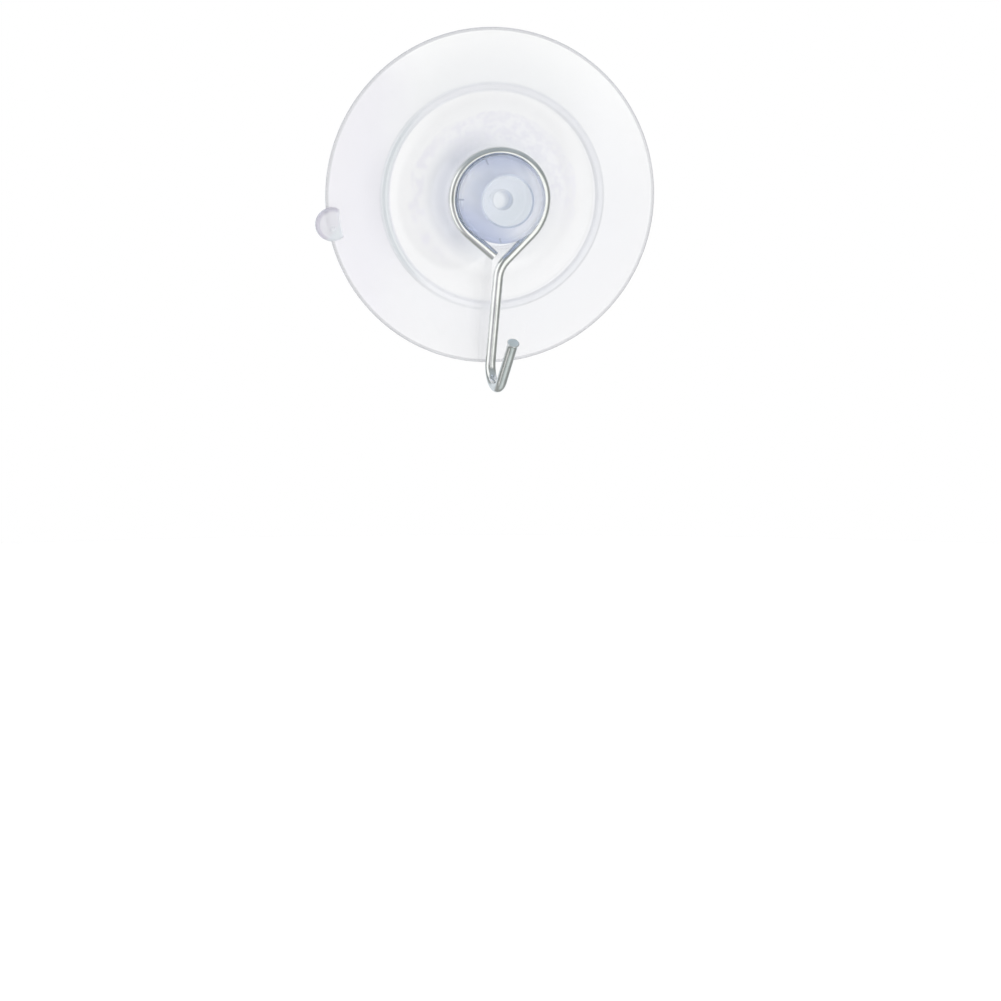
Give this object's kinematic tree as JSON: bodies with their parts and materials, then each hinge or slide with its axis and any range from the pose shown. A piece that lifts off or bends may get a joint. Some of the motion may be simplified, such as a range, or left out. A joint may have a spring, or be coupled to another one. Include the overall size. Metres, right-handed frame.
{
  "type": "suction cup hook",
  "caption": "Clear suction cup with a mushroom head and lift tab, and a bent wire hook that swivels on its neck.",
  "frame": {"origin": "centre of the suction cup's sealing face, where it meets the pane", "axes": "+Y out of the sealing face into the pane, -Y towards the head, -Z down the hanging hook, +X to the right as seen from in front"},
  "size_m": [0.066, 0.0184, 0.0689],
  "materials": {
    "clear_vinyl": "clear soft vinyl, moulded, slightly milky",
    "plated_wire": "bright zinc plated steel wire with fine drawn lines"
  },
  "bodies": {
    "cup": {"suction_cup": "clear_vinyl"},
    "hook": {"wire_hook": "plated_wire"}
  },
  "joints": [
    {"name": "hook_swivel", "type": "hinge", "parent": "cup", "child": "hook", "pos_m": [0, -0.009, 0], "axis": [0, 1, 0], "continuous": true}
  ]
}
